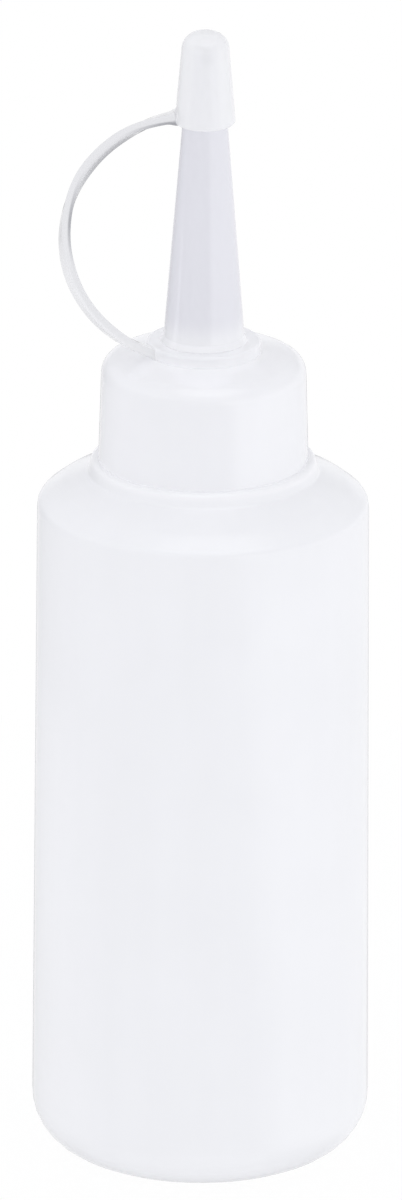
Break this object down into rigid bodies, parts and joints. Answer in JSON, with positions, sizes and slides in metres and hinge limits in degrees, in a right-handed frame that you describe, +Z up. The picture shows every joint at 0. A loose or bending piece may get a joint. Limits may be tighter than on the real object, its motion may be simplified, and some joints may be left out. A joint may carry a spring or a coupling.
{
  "type": "dispensing bottle",
  "caption": "Round translucent squeeze bottle with a screw-on cone nozzle and a domed tip cap held by a moulded tether, for dispensing liquids drop by drop.",
  "frame": {"origin": "on the bottle's axis, in the plane of the ring that it stands on", "axes": "+Z up along the bottle's axis, the tether hangs on the -X side, and -Y is the front"},
  "size_m": [0.044, 0.0438, 0.1526],
  "materials": {
    "bottle_plastic": "natural milky translucent polyethylene, soft satin from the blow mould",
    "cap_plastic": "natural translucent polyethylene, smooth moulded satin",
    "tether_plastic": "natural translucent polyethylene, smooth moulded satin"
  },
  "bodies": {
    "bottle": {"bottle": "bottle_plastic"},
    "tether": {"tether_ring": "tether_plastic", "tether_strap": "tether_plastic"},
    "dispensing_cap": {"dispensing_cap": "cap_plastic"},
    "tip_cap": {"tip_cap": "tether_plastic"}
  },
  "joints": [
    {"name": "cap_rise", "type": "slide", "parent": "bottle", "child": "tether", "axis": [0, 0, 1], "range_m": [0, 0.00477]},
    {"name": "cap_turn", "type": "hinge", "parent": "tether", "child": "dispensing_cap", "pos_m": [0, 0, 0.1], "axis": [0, 0, 1], "range_deg": [0, 540]},
    {"name": "tip_pull", "type": "slide", "parent": "tether", "child": "tip_cap", "axis": [0, 0, 1], "range_m": [0, 0.011], "deforming": ["tether_strap"]}
  ],
  "couplings": [
    {"joint": "cap_rise", "follows": "cap_turn", "m_per_rad": 0.00050532}
  ]
}
